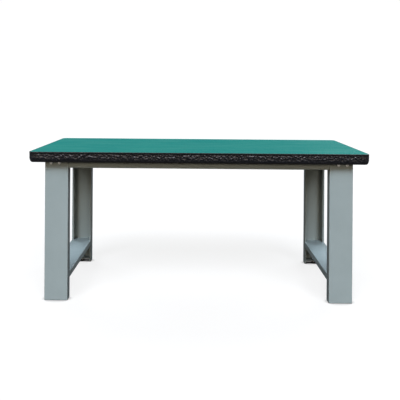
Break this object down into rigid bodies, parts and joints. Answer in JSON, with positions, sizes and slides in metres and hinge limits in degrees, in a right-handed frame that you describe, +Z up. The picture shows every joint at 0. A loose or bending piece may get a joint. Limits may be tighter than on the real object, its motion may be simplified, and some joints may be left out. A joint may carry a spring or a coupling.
{
  "type": "workbench",
  "caption": "Heavy-duty workbench: green laminated top with a textured black edge, folded grey steel channel legs, bolted rails and screwed levelling feet.",
  "frame": {"origin": "on the floor, under the middle of the worktop, with the levelling feet screwed in", "axes": "+X to the right of someone who stands in front of the bench, along its length; +Y towards its back; +Z up"},
  "size_m": [1.8, 0.75, 0.8],
  "materials": {
    "green_surface": "smooth satin green laminate sheet with a faint dry speckle",
    "black_edge": "black moulded edge with a coarse chipped-stone relief and a smooth rim",
    "particle_board": "raw board, hidden inside the top",
    "backing_sheet": "plain off-white backing sheet under the top",
    "grey_powder_coat": "satin blue-grey powder coat with a fine orange peel",
    "zinc_plate": "bright zinc plating",
    "black_nylon": "black moulded nylon"
  },
  "bodies": {
    "bench": {"worktop_surface": "green_surface", "worktop_core": "particle_board", "worktop_backing": "backing_sheet", "worktop_edge": "black_edge", "left_front_post": "grey_powder_coat", "left_front_base_plate": "grey_powder_coat", "left_front_weld_nut": "zinc_plate", "left_front_bolt_inner": "zinc_plate", "left_front_nut_inner": "zinc_plate", "left_front_worktop_screw_inner": "zinc_plate", "left_front_bolt_outer": "zinc_plate", "left_front_nut_outer": "zinc_plate", "left_front_worktop_screw_outer": "zinc_plate", "left_rear_post": "grey_powder_coat", "left_rear_base_plate": "grey_powder_coat", "left_rear_weld_nut": "zinc_plate", "left_rear_bolt_inner": "zinc_plate", "left_rear_nut_inner": "zinc_plate", "left_rear_worktop_screw_inner": "zinc_plate", "left_rear_bolt_outer": "zinc_plate", "left_rear_nut_outer": "zinc_plate", "left_rear_worktop_screw_outer": "zinc_plate", "left_lower_crossbar": "grey_powder_coat", "left_upper_crossbar": "grey_powder_coat", "right_front_post": "grey_powder_coat", "right_front_base_plate": "grey_powder_coat", "right_front_weld_nut": "zinc_plate", "right_front_bolt_inner": "zinc_plate", "right_front_nut_inner": "zinc_plate", "right_front_worktop_screw_inner": "zinc_plate", "right_front_bolt_outer": "zinc_plate", "right_front_nut_outer": "zinc_plate", "right_front_worktop_screw_outer": "zinc_plate", "right_rear_post": "grey_powder_coat", "right_rear_base_plate": "grey_powder_coat", "right_rear_weld_nut": "zinc_plate", "right_rear_bolt_inner": "zinc_plate", "right_rear_nut_inner": "zinc_plate", "right_rear_worktop_screw_inner": "zinc_plate", "right_rear_bolt_outer": "zinc_plate", "right_rear_nut_outer": "zinc_plate", "right_rear_worktop_screw_outer": "zinc_plate", "right_lower_crossbar": "grey_powder_coat", "right_upper_crossbar": "grey_powder_coat", "front_rail": "grey_powder_coat", "rear_rail": "grey_powder_coat"},
    "left_front_pad": {"left_front_foot_pad": "black_nylon"},
    "left_front_stud": {"left_front_foot_stud": "zinc_plate"},
    "left_rear_pad": {"left_rear_foot_pad": "black_nylon"},
    "left_rear_stud": {"left_rear_foot_stud": "zinc_plate"},
    "right_front_pad": {"right_front_foot_pad": "black_nylon"},
    "right_front_stud": {"right_front_foot_stud": "zinc_plate"},
    "right_rear_pad": {"right_rear_foot_pad": "black_nylon"},
    "right_rear_stud": {"right_rear_foot_stud": "zinc_plate"}
  },
  "joints": [
    {"name": "left_front_foot_travel", "type": "slide", "parent": "bench", "child": "left_front_pad", "axis": [0, 0, -1], "range_m": [-0.0045, 0.03]},
    {"name": "left_front_stud_turn", "type": "hinge", "parent": "left_front_pad", "child": "left_front_stud", "pos_m": [-0.76, -0.305, 0.01], "axis": [0, 0, -1], "range_deg": [-1080, 7200]},
    {"name": "left_rear_foot_travel", "type": "slide", "parent": "bench", "child": "left_rear_pad", "axis": [0, 0, -1], "range_m": [-0.0045, 0.03]},
    {"name": "left_rear_stud_turn", "type": "hinge", "parent": "left_rear_pad", "child": "left_rear_stud", "pos_m": [-0.76, 0.33, 0.01], "axis": [0, 0, -1], "range_deg": [-1080, 7200]},
    {"name": "right_front_foot_travel", "type": "slide", "parent": "bench", "child": "right_front_pad", "axis": [0, 0, -1], "range_m": [-0.0045, 0.03]},
    {"name": "right_front_stud_turn", "type": "hinge", "parent": "right_front_pad", "child": "right_front_stud", "pos_m": [0.76, -0.305, 0.01], "axis": [0, 0, -1], "range_deg": [-1080, 7200]},
    {"name": "right_rear_foot_travel", "type": "slide", "parent": "bench", "child": "right_rear_pad", "axis": [0, 0, -1], "range_m": [-0.0045, 0.03]},
    {"name": "right_rear_stud_turn", "type": "hinge", "parent": "right_rear_pad", "child": "right_rear_stud", "pos_m": [0.76, 0.33, 0.01], "axis": [0, 0, -1], "range_deg": [-1080, 7200]}
  ],
  "couplings": [
    {"joint": "left_front_stud_turn", "follows": "left_front_foot_travel", "rad_per_m": 4188.8},
    {"joint": "left_rear_stud_turn", "follows": "left_rear_foot_travel", "rad_per_m": 4188.8},
    {"joint": "right_front_stud_turn", "follows": "right_front_foot_travel", "rad_per_m": 4188.8},
    {"joint": "right_rear_stud_turn", "follows": "right_rear_foot_travel", "rad_per_m": 4188.8}
  ]
}
